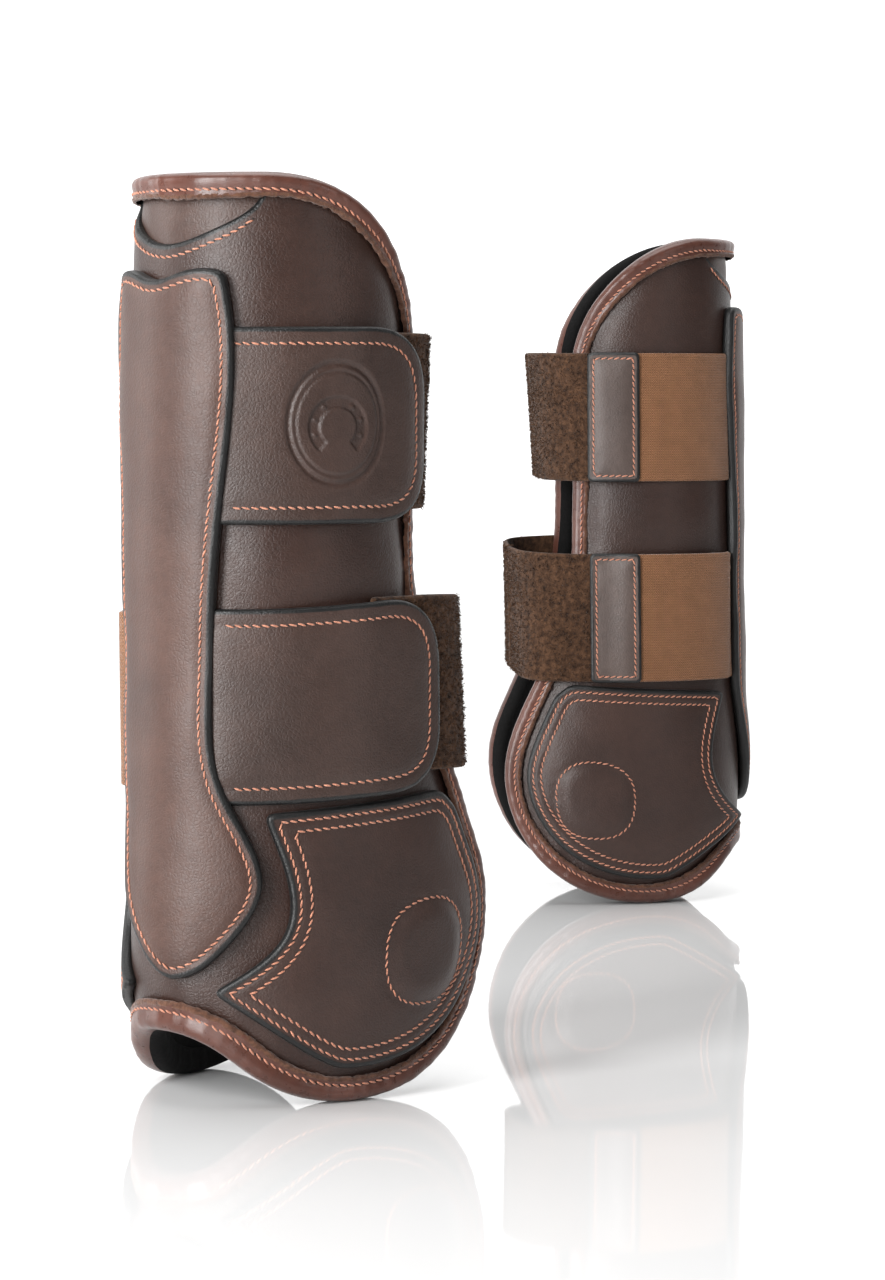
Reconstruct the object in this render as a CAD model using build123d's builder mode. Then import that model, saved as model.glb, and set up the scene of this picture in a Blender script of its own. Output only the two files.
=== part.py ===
from build123d import *

import os
from math import cos, radians, sin, sqrt

# A pair of leather tendon boots for a horse's forelegs, in millimetres.
# One boot is modelled in its own frame: Z up the leg from the floor, Y towards the open front,
# X towards the side where the leather straps lie. The finished pieces are then placed twice.
# "Offset" always means a distance outwards from the outside of the shell leather.

# ---------------------------------------------------------------- overall sizes
boot_height = 263.0
cannon_half_width = 38.0  # round the cannon bone
cannon_stretch = 4.0  # forward shift of the section's centre, which also lengthens it
fetlock_half_width = 41.4  # round the fetlock cup at its widest
fetlock_stretch = 19.8
fetlock_height = 55.0

# ---------------------------------------------------------------- thicknesses
shell_leather = 2.2
padding_thickness = 3.8
lining_thickness = 1.5
collar_leather = 1.2
binding_leather = 0.9
guard_leather = 2.6
guard_core_thickness = 2.0
pad_leather = 3.2
insert_thickness = 1.8
strap_leather = 1.9
webbing_thickness = 1.5
tab_leather = 1.6
clearance = 0.3

# ---------------------------------------------------------------- binding and collar
binding_lip = 8.0  # how far the binding reaches in from its rolled edge
edge_roll = 1.5  # how far the roll stands past the layers that it wraps
collar_half_width = 31.0
scoop_half_width = 26.0
scoop_drop = 20.0  # below the rim, on the centre line

# ---------------------------------------------------------------- strike guard
guard_half_width = 19.6
guard_waist_half_width = 16.6
guard_lobe_reach = 28.6  # the lobe swells on the side of the leather straps only
guard_lobe_height = 64.0
guard_tip = (8.5, 36.5)  # sideways place and height
guard_top_drop = 26.0
guard_dip = 4.0
core_margin = 4.0
core_waist_half_width = 9.0

# ---------------------------------------------------------------- fetlock pads
pad_top_height = 85.0
pad_margin = 1.8  # between the pad and the binding
insert_width = 32.0
insert_height = 30.0
pad_rear_shift = {"lateral": 0.0, "medial": 5.0}

# ---------------------------------------------------------------- straps
strap_width = 55.0
strap_tip = {"upper": 24.5, "lower": 27.5}  # forward place of the leather straps' free ends
strap_tip_radius = 17.0
strap_gap_share = 0.35  # share of the free height that lies between the two straps
webbing_width = 50.0
tab_length = 19.0
pile_end = 4.0
pile_root = 24.5  # forward place of the fold between webbing and pile strap
hinge_reach = 22.1  # sideways place of the straps' folds beside the guard
fold_gap = 0.35
root_gap = 1.7
hook_length = 17.0
hook_margin = 4.0
loop_front = {
    "upper": (cannon_half_width, cannon_half_width + 4.0),  # at the foot and head of the strap
    "lower": (cannon_half_width + 10.3, cannon_half_width + 12.0),
}
# How square each loop's front corners are, where 2 would be an ellipse, at foot and head.
strap_side_squareness = {"upper": (3.0, 3.0), "lower": (5.2, 4.2)}
webbing_side_squareness = {"upper": (2.8, 2.7), "lower": (5.4, 2.8)}
loop_points = 48

# ---------------------------------------------------------------- the pair
pair_spacing = (130.0, 455.0)
boot_yaw = {"boot_a": -45.0, "boot_b": 95.0}

# ---------------------------------------------------------------- values that follow
sandwich = shell_leather + padding_thickness + lining_thickness
padding_outside = -shell_leather
padding_inside = padding_outside - padding_thickness
guard_outside = guard_core_thickness + guard_leather
webbing_offset = binding_leather + clearance
hook_offset = webbing_offset + webbing_thickness + clearance
strap_offset = hook_offset + 0.6
lower_strap_bottom = pad_top_height + 1.0
free_height = boot_height - pad_top_height - 2 * strap_width
strap_bottom = {
    "lower": lower_strap_bottom,
    "upper": lower_strap_bottom + strap_width + strap_gap_share * free_height,
}
far = 100.0  # beyond the boot on every side

# Main sections of the leg: height, half width, forward shift. Each is an ellipse whose back
# lies a half width behind the leg's axis.
leg_sections = [
    (-12.0, fetlock_half_width - 3.4, fetlock_stretch - 5.0),
    (0.4 * fetlock_height, fetlock_half_width - 1.0, fetlock_stretch - 1.4),
    (fetlock_height, fetlock_half_width, fetlock_stretch),
    (pad_top_height, 0.6 * cannon_half_width + 0.4 * fetlock_half_width, fetlock_stretch - 3.1),
    (pad_top_height + 30, cannon_half_width + 0.8, fetlock_stretch - 10.1),
    (pad_top_height + 65, cannon_half_width, cannon_stretch),
    (boot_height - 60, cannon_half_width, cannon_stretch),
    (boot_height + 22, cannon_half_width - 1.6, cannon_stretch),
]
section_step = 15.0


def section_at(height):
    """Half width and forward shift at a height, on smooth curves through the main sections."""
    last = len(leg_sections) - 1
    low = max(i for i in range(last) if leg_sections[i][0] <= height)
    values = []
    for column in (1, 2):
        slopes = []
        for i in (low, low + 1):
            before = leg_sections[max(i - 1, 0)]
            after = leg_sections[min(i + 1, last)]
            slopes.append((after[column] - before[column]) / (after[0] - before[0]))
        start, end = leg_sections[low], leg_sections[low + 1]
        span = end[0] - start[0]
        t = (height - start[0]) / span
        rise = end[column] - start[column]
        bend = slopes[0] * span * t * (1 - t) ** 2 - slopes[1] * span * t**2 * (1 - t)
        values.append(start[column] + rise * t**2 * (3 - 2 * t) + bend)
    return values


def leg_solid(offset):
    """The solid inside the shell's outside, grown by an offset."""
    with BuildPart() as body:
        for step in range(int((boot_height + 21) // section_step) + 2):
            height = section_step * step - 10
            half_width, stretch = section_at(height)
            with BuildSketch(Plane.XY.offset(height)):
                with Locations((0, stretch)):
                    Ellipse(half_width + offset, half_width + stretch + offset)
        loft()
    return body.part


def layer(inside, outside):
    """The skin between two offsets."""
    with BuildPart() as skin:
        add(leg_solid(outside))
        add(leg_solid(inside), mode=Mode.SUBTRACT)
    return skin.part


def box(x_ends, y_ends, z_ends):
    """A cutting block between two places along each axis."""
    with BuildPart() as block:
        with Locations((sum(x_ends) / 2, sum(y_ends) / 2, sum(z_ends) / 2)):
            Box(x_ends[1] - x_ends[0], y_ends[1] - y_ends[0], z_ends[1] - z_ends[0])
    return block.part


def side_block(inset):
    """The boot's side outline as a block across X, inset from the rolled edge."""
    edge = 0.8 * cannon_half_width - inset
    top = boot_height - inset
    cup_front = fetlock_half_width + 16 - inset
    with BuildPart() as block:
        with BuildSketch(Plane.YZ):
            with BuildLine():
                Polyline((-far, 22 + inset), (-far, top), (-24, top))
                Spline(
                    (-24, top),
                    (0.4 * cannon_half_width - 0.5 * inset, boot_height - 17 - 0.85 * inset),
                    (edge, boot_height - 50),
                    tangents=((1, 0), (0, -1)),
                )
                Line((edge, boot_height - 50), (edge, pad_top_height + 65))
                Spline(
                    (edge, pad_top_height + 65),
                    (edge + 11, pad_top_height + 12),
                    (cup_front, fetlock_height - 2),
                    (cup_front - 14 + 0.2 * inset, 17 + 0.7 * inset),
                    (2, inset),
                    (-28, 9 + inset),
                    (-cannon_half_width - 8, 22 + inset),
                    tangents=((0, -1), (-1, 0)),
                )
                Line((-cannon_half_width - 8, 22 + inset), (-far, 22 + inset))
            make_face()
        extrude(amount=far, both=True)
    return block.part


def guard_block(margin):
    """The strike guard's rear outline as a block reaching backwards."""
    top = boot_height - guard_top_drop - margin
    corner = guard_half_width - margin
    waist = guard_waist_half_width - margin
    lobe = guard_lobe_reach - margin
    tip = (guard_tip[0], guard_tip[1] + margin)
    with BuildPart() as block:
        with BuildSketch(Plane.XZ):
            with BuildLine():
                for side in (-1, 1):
                    Spline(
                        (0, top - guard_dip),
                        (side * 0.7 * corner, top - 0.25 * guard_dip),
                        (side * corner, top - 3.5),
                        tangents=((side, 0), (side * 0.2, -1)),
                    )
                Spline(
                    (corner, top - 3.5),
                    (0.5 * (corner + waist) + 0.4, 0.62 * boot_height),
                    (waist, pad_top_height + 28),
                    (waist + 1.8, pad_top_height + 7),
                    (lobe - 2.2, guard_lobe_height + 10),
                    (lobe, guard_lobe_height),
                    (lobe - 7 + 0.3 * margin, 0.5 * (guard_lobe_height + guard_tip[1]) - 4.5 + 0.7 * margin),
                    tip,
                    tangents=((0.2, -1), (-1, 0)),
                )
                Spline(
                    (-corner, top - 3.5),
                    (-0.5 * (corner + waist) - 0.4, 0.62 * boot_height),
                    (-waist, pad_top_height + 28),
                    (-waist + 1.2, pad_top_height + 6),
                    (-waist + 5.0, guard_lobe_height + 3),
                    (-waist + 9.0, guard_lobe_height - 11),
                    (-1.5 + 0.6 * margin, 0.5 * (guard_lobe_height + guard_tip[1]) - 7 + 0.8 * margin),
                    tip,
                    tangents=((-0.2, -1), (1, 0)),
                )
            make_face()
        extrude(amount=far)
    return block.part


def pad_block(side):
    """A fetlock pad's side outline as a block reaching out to one side."""
    shift = pad_rear_shift[side]
    top = pad_top_height
    corner = (-26 - shift, top - 3)
    tip = (-37 - 0.6 * shift, 33)
    with BuildPart() as block:
        with BuildSketch(Plane.YZ):
            with BuildLine():
                Spline(corner, (10, top - 0.8), (far, top), tangents=((1, 0.1), (1, 0)))
                Polyline((far, top), (far, 0), (0, 0), (0, 10.5), (-14, 14.5), tip)
                Spline(tip, (-22 - shift, 49), corner, tangents=((0.75, 0.8), (-0.25, 1)))
            make_face()
        extrude(amount=far if side == "lateral" else -far)
    return block.part


def loop_point(name, share, turn, growth, shift):
    """A point of a strap loop's plan outline, share of the way up, turned from the back."""
    height = strap_bottom[name] + share * strap_width
    half_width, stretch = section_at(height)
    front = loop_front[name][0] + share * (loop_front[name][1] - loop_front[name][0])
    across, along = sin(turn), -cos(turn)
    depth = half_width + stretch if along < 0 else front - stretch
    squareness = 2.0
    if along > 0:
        ends = (strap_side_squareness if across > 0 else webbing_side_squareness)[name]
        squareness = ends[0] + share * (ends[1] - ends[0])
    x = (half_width + growth) * abs(across) ** (2 / squareness)
    y = (depth + growth) * abs(along) ** (2 / squareness)
    return (
        shift[0] + (x if across > 0 else -x),
        shift[1] + stretch + (y if along > 0 else -y),
    )


def loop_solid(name, growth, shift=(0.0, 0.0)):
    """The solid inside a strap loop: round the leg, and squarer across the open front."""
    with BuildPart() as body:
        for share in (0, 1):
            height = strap_bottom[name] + share * strap_width
            points = [
                loop_point(name, share, radians(360 * k / loop_points), growth, shift)
                for k in range(loop_points)
            ]
            with BuildSketch(Plane.XY.offset(height)):
                with BuildLine():
                    Spline(*points, periodic=True)
                make_face()
        loft()
    return body.part


def hinge_line(side, reach, offset, name):
    """Two points on the leg's wall beside a strap: foot and head of the line it folds about."""
    points = []
    for height in (strap_bottom[name], strap_bottom[name] + strap_width):
        half_width, stretch = section_at(height)
        across = reach / (half_width + offset)
        back = stretch - (half_width + stretch + offset) * sqrt(1 - across**2)
        points.append(Vector(side * reach, back, height))
    return points


def wall_reach(forward, offset, height):
    """Sideways place of the wall at a forward place and height."""
    half_width, stretch = section_at(height)
    along = (forward - stretch) / (half_width + stretch + offset)
    return (half_width + offset) * sqrt(1 - along**2)


def strap_band(name, width):
    """The ends in height of a band centred on a strap."""
    middle = strap_bottom[name] + strap_width / 2
    return (middle - width / 2, middle + width / 2)


# ---------------------------------------------------------------- body of the boot
def lining():
    with BuildPart() as piece:
        add(layer(-sandwich, padding_inside))
        add(side_block(edge_roll), mode=Mode.INTERSECT)
    return piece.part


def collar_panel():
    with BuildPart() as piece:
        add(layer(padding_outside - collar_leather, padding_outside))
        add(side_block(edge_roll), mode=Mode.INTERSECT)
        ends = (boot_height - scoop_drop - 14, boot_height)
        add(box((-collar_half_width, collar_half_width), (-far, 0), ends), mode=Mode.INTERSECT)
    return piece.part


def padding(collar):
    with BuildPart() as piece:
        add(layer(padding_inside, padding_outside))
        add(side_block(edge_roll), mode=Mode.INTERSECT)
        add(collar, mode=Mode.SUBTRACT)
    return piece.part


def scoop_block():
    """Everything above the curved top edge of the shell leather at the back."""
    low = boot_height - scoop_drop
    high = boot_height - binding_lip
    half = scoop_half_width
    with BuildPart() as block:
        with BuildSketch(Plane.XZ):
            with BuildLine():
                Spline((0, low), (0.6 * half, low + 4), (half, high), tangents=((1, 0), (0.5, 1)))
                Polyline((half, high), (half, boot_height + 10), (0, boot_height + 10))
                mirror(about=Plane.YZ)
            make_face()
        extrude(amount=far)
    return block.part


def outer_shell():
    with BuildPart() as piece:
        add(layer(padding_outside, 0))
        add(side_block(edge_roll), mode=Mode.INTERSECT)
        add(scoop_block(), mode=Mode.SUBTRACT)
    return piece.part


def edge_binding(wrapped):
    with BuildPart() as piece:
        add(layer(-sandwich - binding_leather, binding_leather))
        add(side_block(0), mode=Mode.INTERSECT)
        add(side_block(binding_lip), mode=Mode.SUBTRACT)
        add(wrapped, mode=Mode.SUBTRACT)
    return piece.part


# ---------------------------------------------------------------- guard and pads
def guard_core():
    with BuildPart() as piece:
        add(layer(0, guard_core_thickness))
        add(guard_block(core_margin), mode=Mode.INTERSECT)
        for name in strap_bottom:
            low, high = strap_band(name, strap_width + 2)
            for side in (-1, 1):
                ends = sorted((side * core_waist_half_width, side * far))
                add(box(ends, (-far, 0), (low, high)), mode=Mode.SUBTRACT)
    return piece.part


def strike_guard():
    with BuildPart() as piece:
        add(layer(guard_core_thickness, guard_outside))
        add(guard_block(0), mode=Mode.INTERSECT)
    return piece.part


def fetlock_pad(side):
    with BuildPart() as piece:
        add(layer(0, pad_leather))
        add(side_block(binding_lip + pad_margin), mode=Mode.INTERSECT)
        add(pad_block(side), mode=Mode.INTERSECT)
    return piece.part


def insert_block(side):
    """The oval outline of the raised insert as a block reaching out to one side."""
    with BuildPart() as block:
        with BuildSketch(Plane.YZ):
            with Locations((fetlock_stretch + 1, 0.74 * fetlock_height)):
                Ellipse(insert_width / 2, insert_height / 2)
        extrude(amount=far if side == "lateral" else -far)
    return block.part


def fetlock_insert(side):
    with BuildPart() as piece:
        add(layer(pad_leather, pad_leather + insert_thickness))
        add(insert_block(side), mode=Mode.INTERSECT)
    return piece.part


# ---------------------------------------------------------------- straps
def strap_root(name, side, width):
    """The sewn end of a strap or webbing, under the guard's edge."""
    x_ends = sorted((side * core_waist_half_width, side * (hinge_reach - root_gap)))
    with BuildPart() as piece:
        add(layer(0, guard_core_thickness))
        add(box(x_ends, (-far, 0), strap_band(name, width)), mode=Mode.INTERSECT)
    return piece.part


def shifted_offset(at_root, at_side):
    """Growth and shift of a loop whose offset widens from the guard to the side."""
    shift = (at_side - at_root) / (cos(radians(45)) + 0.25)
    growth = at_root + 0.25 * shift
    return growth, shift * cos(radians(45))


def strap_outline_block(name):
    """A leather strap's side outline, with its rounded free end, as a block reaching outwards."""
    with BuildPart() as block:
        with BuildSketch(Plane.YZ) as outline:
            with Locations((strap_tip[name], strap_bottom[name] + strap_width / 2)):
                Rectangle(far, strap_width, align=(Align.MAX, Align.CENTER))
            fillet(outline.vertices().sort_by(Axis.X)[-2:], strap_tip_radius)
        extrude(amount=far)
    return block.part


def leather_strap(name):
    growth, shift = shifted_offset(clearance, strap_offset)
    with BuildPart() as piece:
        add(loop_solid(name, growth + strap_leather, (shift, shift)))
        add(loop_solid(name, growth, (shift, shift)), mode=Mode.SUBTRACT)
        add(strap_outline_block(name), mode=Mode.INTERSECT)
        band = strap_band(name, strap_width)
        add(box((hinge_reach + fold_gap, far), (-far, far), band), mode=Mode.INTERSECT)
    return piece.part


def strap_hooks(name):
    growth, shift = shifted_offset(clearance, strap_offset)
    front = strap_tip[name] - hook_margin
    with BuildPart() as piece:
        add(loop_solid(name, growth, (shift, shift)))
        add(loop_solid(name, hook_offset), mode=Mode.SUBTRACT)
        band = strap_band(name, strap_width - 4 * hook_margin)
        add(box((0, far), (front - hook_length, front), band), mode=Mode.INTERSECT)
    return piece.part


def elastic(name):
    growth, shift = shifted_offset(clearance, webbing_offset - 0.2)
    ends = (-far, pile_root - root_gap - 0.1)
    with BuildPart() as piece:
        add(loop_solid(name, growth + webbing_thickness, (-shift, shift)))
        add(loop_solid(name, growth, (-shift, shift)), mode=Mode.SUBTRACT)
        x_ends = (-far, -hinge_reach - fold_gap)
        add(box(x_ends, ends, strap_band(name, webbing_width)), mode=Mode.INTERSECT)
    return piece.part


def elastic_tab(name):
    growth, shift = shifted_offset(clearance, webbing_offset - 0.2)
    front = pile_root - root_gap - 0.1
    outside = growth + webbing_thickness
    with BuildPart() as piece:
        add(loop_solid(name, outside + tab_leather, (-shift, shift)))
        add(loop_solid(name, outside, (-shift, shift)), mode=Mode.SUBTRACT)
        y_ends = (front - tab_length, front)
        add(box((-far, 0), y_ends, strap_band(name, webbing_width)), mode=Mode.INTERSECT)
    return piece.part


def pile_strap(name):
    band = strap_band(name, webbing_width)
    with BuildPart() as piece:
        add(loop_solid(name, webbing_offset + webbing_thickness))
        add(loop_solid(name, webbing_offset), mode=Mode.SUBTRACT)
        add(box((-far, far), (pile_end, far), band), mode=Mode.INTERSECT)
        add(box((-far, 0), (-far, pile_root + fold_gap), band), mode=Mode.SUBTRACT)
    return piece.part


# ---------------------------------------------------------------- one boot, then the pair
def boot_pieces():
    collar = collar_panel()
    layers = {
        "lining": lining(),
        "padding": padding(collar),
        "collar_panel": collar,
        "outer_shell": outer_shell(),
    }
    with BuildPart() as wrapped:
        for piece in layers.values():
            add(piece)
    pieces = dict(layers)
    pieces["edge_binding"] = edge_binding(wrapped.part)
    pieces["guard_core"] = guard_core()
    pieces["strike_guard"] = strike_guard()
    for side in ("lateral", "medial"):
        pieces[f"{side}_fetlock_pad"] = fetlock_pad(side)
        pieces[f"{side}_fetlock_insert"] = fetlock_insert(side)
    for name in ("upper", "lower"):
        pieces[f"{name}_strap_root"] = strap_root(name, 1, strap_width)
        pieces[f"{name}_leather_strap"] = leather_strap(name)
        pieces[f"{name}_strap_hooks"] = strap_hooks(name)
        pieces[f"{name}_elastic_root"] = strap_root(name, -1, webbing_width)
        pieces[f"{name}_elastic"] = elastic(name)
        pieces[f"{name}_elastic_tab"] = elastic_tab(name)
        pieces[f"{name}_pile_strap"] = pile_strap(name)
    return pieces


def pair_places(pieces):
    """Where each boot stands, with the pair centred over the origin."""
    places = {
        "boot_a": Location((0, 0, 0), (0, 0, boot_yaw["boot_a"])),
        "boot_b": Location((*pair_spacing, 0), (0, 0, boot_yaw["boot_b"])),
    }
    everything = Compound(children=[
        place * piece for place in places.values() for piece in pieces.values()
    ])
    box_of_all = everything.bounding_box()
    middle = box_of_all.center()
    back_to_origin = Location((-middle.X, -middle.Y, -box_of_all.min.Z))
    return {boot: back_to_origin * place for boot, place in places.items()}


def main():
    pieces = boot_pieces()
    places = pair_places(pieces)
    os.makedirs("parts", exist_ok=True)
    for boot, place in places.items():
        for name, piece in pieces.items():
            placed = place * piece
            placed.label = f"{boot}_{name}"
            export_step(placed, f"parts/{placed.label}.step")
        print(boot, place)
        for name in ("upper", "lower"):
            folds = {
                "leather": hinge_line(1, hinge_reach, clearance + strap_leather / 2, name),
                "elastic": hinge_line(-1, hinge_reach, clearance + webbing_thickness / 2, name),
            }
            for fold, ends in folds.items():
                foot, head = [(place * Location(end)).position for end in ends]
                print(boot, name, fold, "fold", foot, head)


if __name__ == "__main__":
    main()
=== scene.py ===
import math

import bpy
import numpy as np
from mathutils import Matrix, Vector, geometry


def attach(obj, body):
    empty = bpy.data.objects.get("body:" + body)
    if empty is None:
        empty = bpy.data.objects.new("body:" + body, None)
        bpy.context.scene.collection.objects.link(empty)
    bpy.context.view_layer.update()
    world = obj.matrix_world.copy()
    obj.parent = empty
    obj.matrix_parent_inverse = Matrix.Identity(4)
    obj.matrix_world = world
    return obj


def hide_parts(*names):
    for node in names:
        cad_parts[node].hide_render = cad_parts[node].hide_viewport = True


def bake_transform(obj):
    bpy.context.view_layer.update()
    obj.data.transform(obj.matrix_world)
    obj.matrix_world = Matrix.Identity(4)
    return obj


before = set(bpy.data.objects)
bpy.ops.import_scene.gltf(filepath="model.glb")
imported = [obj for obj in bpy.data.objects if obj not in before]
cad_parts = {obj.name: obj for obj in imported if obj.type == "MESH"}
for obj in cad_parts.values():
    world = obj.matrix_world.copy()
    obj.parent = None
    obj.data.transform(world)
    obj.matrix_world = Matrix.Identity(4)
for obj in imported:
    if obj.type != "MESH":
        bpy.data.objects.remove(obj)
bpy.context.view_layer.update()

# One boot is shaped in its own frame in millimetres: Z up from the floor, Y to the open front,
# X to the side of the leather straps. "s" is the distance round the leg from the middle of the
# back, positive towards the leather straps, and "out" a distance out from the shell leather.
MM = 0.001
STITCH_LENGTH, THREAD_RADIUS, SLANT = 2.5, 0.29, 17
FOLD_REACH = 22.1  # sideways place of the straps' folds beside the guard
HEIGHT = 263.0
CANNON, CANNON_STRETCH = 38.0, 4.0
FETLOCK, FETLOCK_STRETCH, FETLOCK_Z = 41.4, 19.8, 55.0
PAD_TOP = 85.0
STRAP_W, WEB_W = 55.0, 50.0
STRAP_Z = {"lower": 86.0, "upper": 86.0 + STRAP_W + 0.35 * (HEIGHT - PAD_TOP - 2 * STRAP_W)}
PLACES = {"boot_a": ((-67.35, -228.56), -45.0), "boot_b": ((62.65, 226.44), 95.0)}
rng = np.random.default_rng(7)

SECTIONS = np.array([
    (-12.0, FETLOCK - 3.4, FETLOCK_STRETCH - 5.0),
    (0.4 * FETLOCK_Z, FETLOCK - 1.0, FETLOCK_STRETCH - 1.4),
    (FETLOCK_Z, FETLOCK, FETLOCK_STRETCH),
    (PAD_TOP, 0.6 * CANNON + 0.4 * FETLOCK, FETLOCK_STRETCH - 3.1),
    (PAD_TOP + 30, CANNON + 0.8, FETLOCK_STRETCH - 10.1),
    (PAD_TOP + 65, CANNON, CANNON_STRETCH),
    (HEIGHT - 60, CANNON, CANNON_STRETCH),
    (HEIGHT + 22, CANNON - 1.6, CANNON_STRETCH),
])


# ------------------------------------------------------------------ curves and surfaces
def section_at(z):
    z = np.asarray(z, float)
    low = np.clip(np.searchsorted(SECTIONS[:, 0], z, side="right") - 1, 0, len(SECTIONS) - 2)
    span = SECTIONS[low + 1, 0] - SECTIONS[low, 0]
    t = (z - SECTIONS[low, 0]) / span
    result = []
    for column in (1, 2):
        v = SECTIONS[:, column]
        slope = np.array([
            (v[min(i + 1, len(v) - 1)] - v[max(i - 1, 0)])
            / (SECTIONS[min(i + 1, len(v) - 1), 0] - SECTIONS[max(i - 1, 0), 0])
            for i in range(len(v))
        ])
        bend = slope[low] * span * t * (1 - t) ** 2 - slope[low + 1] * span * t**2 * (1 - t)
        result.append(v[low] + (v[low + 1] - v[low]) * t**2 * (3 - 2 * t) + bend)
    return result


Z_GRID = np.arange(-6.0, 272.0, 1.0)
TURN_GRID = np.linspace(0, math.pi, 1441)
S_GRID = np.arange(0.0, 220.0, 0.25)


def make_tables():
    lengths, turns = [], []
    for z in Z_GRID:
        half, stretch = section_at(z)
        step = np.hypot(half * np.cos(TURN_GRID), (half + stretch) * np.sin(TURN_GRID))
        length = np.concatenate([[0], np.cumsum((step[1:] + step[:-1]) / 2 * np.diff(TURN_GRID))])
        lengths.append(length)
        turns.append(np.interp(S_GRID, length, TURN_GRID))
    return np.array(lengths), np.array(turns)


LENGTHS, TURNS = make_tables()


def lookup(table, row, column):
    row = np.clip(row, 0, table.shape[0] - 1.001)
    column = np.clip(column, 0, table.shape[1] - 1.001)
    i, j = row.astype(int), column.astype(int)
    u, v = row - i, column - j
    low = table[i, j] * (1 - v) + table[i, j + 1] * v
    high = table[i + 1, j] * (1 - v) + table[i + 1, j + 1] * v
    return low * (1 - u) + high * u


def round_leg(turn, z):
    """Distance round the leg of a turn from the back, at a height."""
    z = np.asarray(z, float)
    turn = np.asarray(turn, float)
    size = lookup(LENGTHS, z - Z_GRID[0], np.abs(turn) / (TURN_GRID[1] - TURN_GRID[0]))
    return np.sign(turn) * size


def wall(s, z, out):
    """Points on the leg's wall."""
    s, z, out = np.broadcast_arrays(np.asarray(s, float), np.asarray(z, float), np.asarray(out, float))
    turn = np.sign(s) * lookup(TURNS, z - Z_GRID[0], np.abs(s) / 0.25)
    half, stretch = section_at(z)
    x, y = half * np.sin(turn), -(half + stretch) * np.cos(turn)
    nx, ny = x / half**2, y / (half + stretch) ** 2
    size = np.hypot(nx, ny)
    return np.stack([x + out * nx / size, y + stretch + out * ny / size, z], -1)


def from_rear(x, z):
    half, _ = section_at(z)
    return round_leg(np.arcsin(np.clip(np.asarray(x, float) / half, -1, 1)), z)


def from_side(y, z):
    half, stretch = section_at(z)
    return round_leg(np.arccos(np.clip((stretch - np.asarray(y, float)) / (half + stretch), -1, 1)), z)


def curve(points, start, end, steps):
    """A smooth curve through points, with set directions at its ends."""
    p = np.array(points, float)
    n = len(p)
    chord = np.hypot(*np.diff(p, axis=0).T)
    a, b = np.zeros((n, n)), np.zeros((n, 2))
    for i in range(1, n - 1):
        h0, h1 = chord[i - 1], chord[i]
        a[i, i - 1 : i + 2] = h1, 2 * (h0 + h1), h0
        b[i] = 3 * (h1 * (p[i] - p[i - 1]) / h0 + h0 * (p[i + 1] - p[i]) / h1)
    for i, direction in ((0, start), (n - 1, end)):
        a[i, i] = 1
        j = 0 if i == 0 else n - 2
        b[i] = (p[j + 1] - p[j]) / chord[j]
        if direction is not None:
            b[i] = np.array(direction, float) / np.hypot(*direction)
    slope = np.linalg.solve(a, b)
    out = []
    for i in range(n - 1):
        t = np.linspace(0, 1, steps, endpoint=False)[:, None]
        h = chord[i]
        out.append(
            p[i] * (1 + 2 * t) * (1 - t) ** 2 + p[i + 1] * t**2 * (3 - 2 * t)
            + slope[i] * h * t * (1 - t) ** 2 - slope[i + 1] * h * t**2 * (1 - t)
        )
    out.append(p[-1:])
    return np.vstack(out)


def resample(points, step, closed=True):
    """Evenly spaced points along a line."""
    p = np.asarray(points, float)
    if closed:
        p = np.vstack([p, p[:1]])
    length = np.concatenate([[0], np.cumsum(np.linalg.norm(np.diff(p, axis=0), axis=1))])
    count = max(4, int(round(length[-1] / step)))
    at = np.linspace(0, length[-1], count, endpoint=not closed)
    return np.stack([np.interp(at, length, p[:, i]) for i in range(p.shape[1])], -1)


def anticlockwise(p):
    area = np.sum(p[:, 0] * np.roll(p[:, 1], -1) - np.roll(p[:, 0], -1) * p[:, 1])
    return p if area > 0 else p[::-1]


def inward(p):
    """Inward directions of a closed anticlockwise outline."""
    along = np.roll(p, -1, 0) - np.roll(p, 1, 0)
    along /= np.linalg.norm(along, axis=1, keepdims=True)
    return np.stack([-along[:, 1], along[:, 0]], -1)


def distance(points, outline):
    """Shortest distance from each point to a closed outline."""
    a, ab = outline, np.roll(outline, -1, 0) - outline
    size = np.maximum((ab**2).sum(1), 1e-12)
    result = np.empty(len(points))
    for i in range(0, len(points), 2000):
        q = points[i : i + 2000, None, :]
        t = np.clip(((q - a) * ab).sum(-1) / size, 0, 1)
        result[i : i + 2000] = np.sqrt((((q - a) - t[..., None] * ab) ** 2).sum(-1)).min(1)
    return result


def inside(points, outline):
    x, y = points[:, 0:1], points[:, 1:2]
    x0, y0 = outline[:, 0], outline[:, 1]
    x1, y1 = np.roll(x0, -1), np.roll(y0, -1)
    crosses = (y0 > y) != (y1 > y)
    where = x0 + (y - y0) * (x1 - x0) / np.where(y1 == y0, 1e-9, y1 - y0)
    return (crosses & (x < where)).sum(1) % 2 == 1


def inset(outline, depth, step):
    """A closed line that keeps a depth inside an outline."""
    p = resample(outline, 0.5)
    q = p + inward(p) * depth
    q = q[distance(q, p) > 0.985 * depth]
    return resample(q, step)


def round_corners(points, radius, steps=7):
    p = [np.array(q, float) for q in points]
    radii = radius if isinstance(radius, (list, tuple)) else [radius] * len(p)
    out = []
    for i, q in enumerate(p):
        a, b = p[i - 1] - q, p[(i + 1) % len(p)] - q
        la, lb = np.linalg.norm(a), np.linalg.norm(b)
        a, b = a / la, b / lb
        half = math.acos(np.clip(a @ b, -1, 1)) / 2
        cut = min(radii[i] / math.tan(half), 0.48 * la, 0.48 * lb)
        for t in np.linspace(0, 1, steps):
            out.append((1 - t) ** 2 * (q + a * cut) + 2 * t * (1 - t) * q + t**2 * (q + b * cut))
    return np.array(out)


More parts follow.
